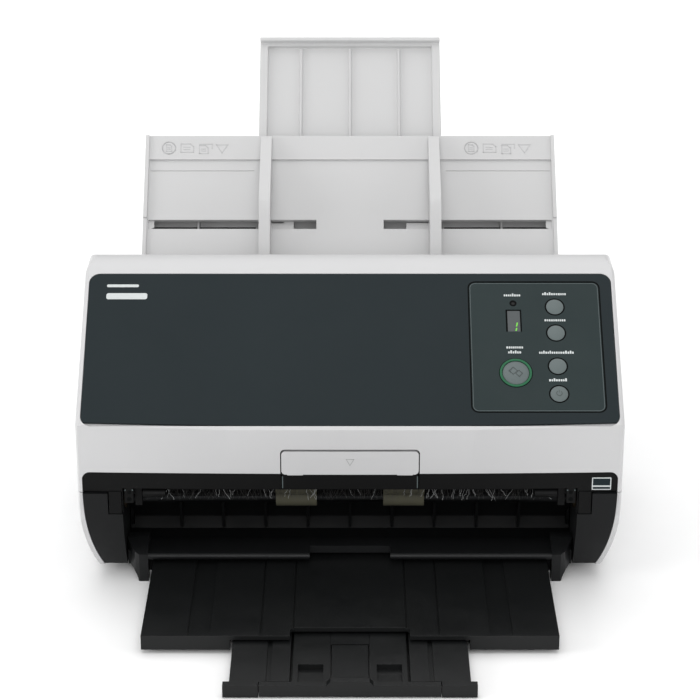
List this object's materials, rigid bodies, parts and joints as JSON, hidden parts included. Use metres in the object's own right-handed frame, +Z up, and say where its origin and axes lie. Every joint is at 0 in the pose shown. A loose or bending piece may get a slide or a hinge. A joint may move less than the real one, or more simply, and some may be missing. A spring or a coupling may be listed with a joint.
{
  "type": "sheet-fed document scanner",
  "caption": "Wedge-shaped desktop sheet scanner with a lifting upper unit, slanted feed chute with sliding paper guides, and a telescoping output stacker.",
  "frame": {"origin": "on the table, under the middle of the whole machine with chute extension and stacker out", "axes": "+X to the right seen from the front, +Y to the back, +Z up"},
  "size_m": [0.3, 0.3722, 0.2521],
  "materials": {
    "white_plastic": "fine texture, satin",
    "light_plastic": "fine texture, satin",
    "slate_panel": "fine texture, matt",
    "black_plastic": "fine texture, matt",
    "button_grey": "satin",
    "green_ring": "translucent, lit from below",
    "window": "smooth",
    "rubber": "fine grooved",
    "foot_rubber": "matt",
    "steel": "brushed",
    "brass": "turned",
    "glass": "polished",
    "board": "solder mask",
    "bristle": "fine carbon fibres"
  },
  "bodies": {
    "base": {"base_tray": "black_plastic", "left_side_cover": "white_plastic", "right_side_cover": "white_plastic", "left_front_pillar": "black_plastic", "right_front_pillar": "black_plastic", "rear_cover": "white_plastic", "exit_deck": "black_plastic", "lower_guide": "black_plastic", "lower_optical_unit": "black_plastic", "lower_glass": "glass", "main_frame": "steel", "shaft_bushes": "brass", "feed_motor": "steel", "main_board": "board", "rear_sockets": "black_plastic", "rubber_feet": "foot_rubber", "case_screws": "steel", "hinge_pins": "steel", "drive_belt": "rubber", "chute_plate": "light_plastic", "chute_back": "light_plastic"},
    "upper_unit": {"cover_shell": "white_plastic", "cover_panel": "slate_panel", "control_panel": "slate_panel", "display_window": "window", "status_lamp": "window", "cover_trim": "black_plastic", "upper_guide": "black_plastic", "upper_optical_unit": "black_plastic", "upper_glass": "glass", "antistatic_brush": "bristle", "scan_ring": "green_ring"},
    "latch": {"cover_latch": "white_plastic", "latch_bar": "black_plastic"},
    "scan_key": {"scan_button": "button_grey"},
    "function_key": {"function_button": "button_grey"},
    "send_key": {"send_button": "button_grey"},
    "manual_key": {"manual_feed_button": "button_grey"},
    "power_key": {"power_button": "button_grey"},
    "chute_tray": {"chute_extension": "light_plastic"},
    "left_guide": {"left_paper_guide": "light_plastic"},
    "right_guide": {"right_paper_guide": "light_plastic"},
    "guide_wheel": {"guide_pinion": "light_plastic"},
    "pick_unit": {"pick_shaft": "steel", "pick_rollers": "rubber", "pick_pulley": "black_plastic"},
    "feed_unit": {"feed_shaft": "steel", "feed_rollers": "rubber", "feed_gear": "black_plastic"},
    "eject_unit": {"eject_shaft": "steel", "eject_rollers": "rubber", "eject_pulley": "black_plastic"},
    "motor_wheel": {"motor_pinion": "brass"},
    "separation_unit": {"separation_roller": "rubber"},
    "feed_idler_unit": {"feed_idlers": "rubber"},
    "eject_idler_unit": {"eject_idlers": "rubber"},
    "stacker_tray": {"stacker": "black_plastic"},
    "stacker_stage": {"stacker_extension": "black_plastic"},
    "stacker_tip": {"stacker_end": "black_plastic"},
    "paper_stop": {"stacker_stop": "black_plastic"}
  },
  "joints": [
    {"name": "upper_unit_hinge", "type": "hinge", "parent": "base", "child": "upper_unit", "pos_m": [0, 0.02939, 0.146], "axis": [-1, 0, 0], "range_deg": [0, 65]},
    {"name": "latch_turn", "type": "hinge", "parent": "upper_unit", "child": "latch", "pos_m": [0, -0.0579, 0.0815], "axis": [-1, 0, 0], "range_deg": [0, 8], "stiffness_Nm_per_rad": 0.12, "springref_deg": -11.46},
    {"name": "scan_key_press", "type": "slide", "parent": "upper_unit", "child": "scan_key", "axis": [0, 0.6088, -0.7934], "range_m": [0, 0.0008], "stiffness_N_per_m": 700, "springref_m": -0.0006},
    {"name": "function_key_press", "type": "slide", "parent": "upper_unit", "child": "function_key", "axis": [0, 0.6088, -0.7934], "range_m": [0, 0.0008], "stiffness_N_per_m": 700, "springref_m": -0.0006},
    {"name": "send_key_press", "type": "slide", "parent": "upper_unit", "child": "send_key", "axis": [0, 0.6088, -0.7934], "range_m": [0, 0.0008], "stiffness_N_per_m": 700, "springref_m": -0.0006},
    {"name": "manual_key_press", "type": "slide", "parent": "upper_unit", "child": "manual_key", "axis": [0, 0.6088, -0.7934], "range_m": [0, 0.0008], "stiffness_N_per_m": 700, "springref_m": -0.0006},
    {"name": "power_key_press", "type": "slide", "parent": "upper_unit", "child": "power_key", "axis": [0, 0.6088, -0.7934], "range_m": [0, 0.0008], "stiffness_N_per_m": 700, "springref_m": -0.0006},
    {"name": "chute_tray_slide", "type": "slide", "parent": "base", "child": "chute_tray", "axis": [0, -0.6896, -0.7242], "range_m": [0, 0.064]},
    {"name": "left_guide_slide", "type": "slide", "parent": "base", "child": "left_guide", "axis": [1, 0, 0], "range_m": [-0.061, 0.0207]},
    {"name": "right_guide_slide", "type": "slide", "parent": "base", "child": "right_guide", "axis": [1, 0, 0], "range_m": [-0.0217, 0.062]},
    {"name": "guide_wheel_turn", "type": "hinge", "parent": "base", "child": "guide_wheel", "pos_m": [0, 0.09345, 0.15818], "axis": [0, -0.7242, 0.6896], "range_deg": [-150, 440]},
    {"name": "feed_unit_spin", "type": "hinge", "parent": "base", "child": "feed_unit", "pos_m": [0, 0.01482, 0.07706], "axis": [1, 0, 0], "continuous": true},
    {"name": "pick_unit_spin", "type": "hinge", "parent": "base", "child": "pick_unit", "pos_m": [0, 0.03879, 0.09424], "axis": [1, 0, 0], "continuous": true},
    {"name": "eject_unit_spin", "type": "hinge", "parent": "base", "child": "eject_unit", "pos_m": [0, -0.04663, 0.04778], "axis": [1, 0, 0], "continuous": true},
    {"name": "motor_wheel_spin", "type": "hinge", "parent": "base", "child": "motor_wheel", "pos_m": [0, 0.0287, 0.06051], "axis": [1, 0, 0], "continuous": true},
    {"name": "separation_unit_spin", "type": "hinge", "parent": "upper_unit", "child": "separation_unit", "pos_m": [0, 0.02115, 0.1069], "axis": [1, 0, 0], "continuous": true},
    {"name": "feed_idler_spin", "type": "hinge", "parent": "upper_unit", "child": "feed_idler_unit", "pos_m": [0, 0.00852, 0.08889], "axis": [1, 0, 0], "continuous": true},
    {"name": "eject_idler_spin", "type": "hinge", "parent": "upper_unit", "child": "eject_idler_unit", "pos_m": [0, -0.05151, 0.05696], "axis": [1, 0, 0], "continuous": true},
    {"name": "stacker_slide", "type": "slide", "parent": "base", "child": "stacker_tray", "axis": [0, 1, 0], "range_m": [0, 0.08]},
    {"name": "stacker_stage_slide", "type": "slide", "parent": "stacker_tray", "child": "stacker_stage", "axis": [0, 1, 0], "range_m": [0, 0.041]},
    {"name": "stacker_tip_slide", "type": "slide", "parent": "stacker_stage", "child": "stacker_tip", "axis": [0, -1, 0], "range_m": [0, 0.055]},
    {"name": "paper_stop_turn", "type": "hinge", "parent": "stacker_tip", "child": "paper_stop", "pos_m": [0, -0.1763, 0.0056], "axis": [1, 0, 0], "range_deg": [0, 90]}
  ],
  "couplings": [
    {"joint": "right_guide_slide", "follows": "left_guide_slide", "ratio": -1},
    {"joint": "guide_wheel_turn", "follows": "left_guide_slide", "rad_per_m": -125},
    {"joint": "pick_unit_spin", "follows": "feed_unit_spin", "ratio": 0.8},
    {"joint": "eject_unit_spin", "follows": "feed_unit_spin", "ratio": 1.6},
    {"joint": "motor_wheel_spin", "follows": "feed_unit_spin", "ratio": -2.8571},
    {"joint": "feed_idler_spin", "follows": "feed_unit_spin", "ratio": -1.6},
    {"joint": "eject_idler_spin", "follows": "feed_unit_spin", "ratio": -1.6}
  ]
}
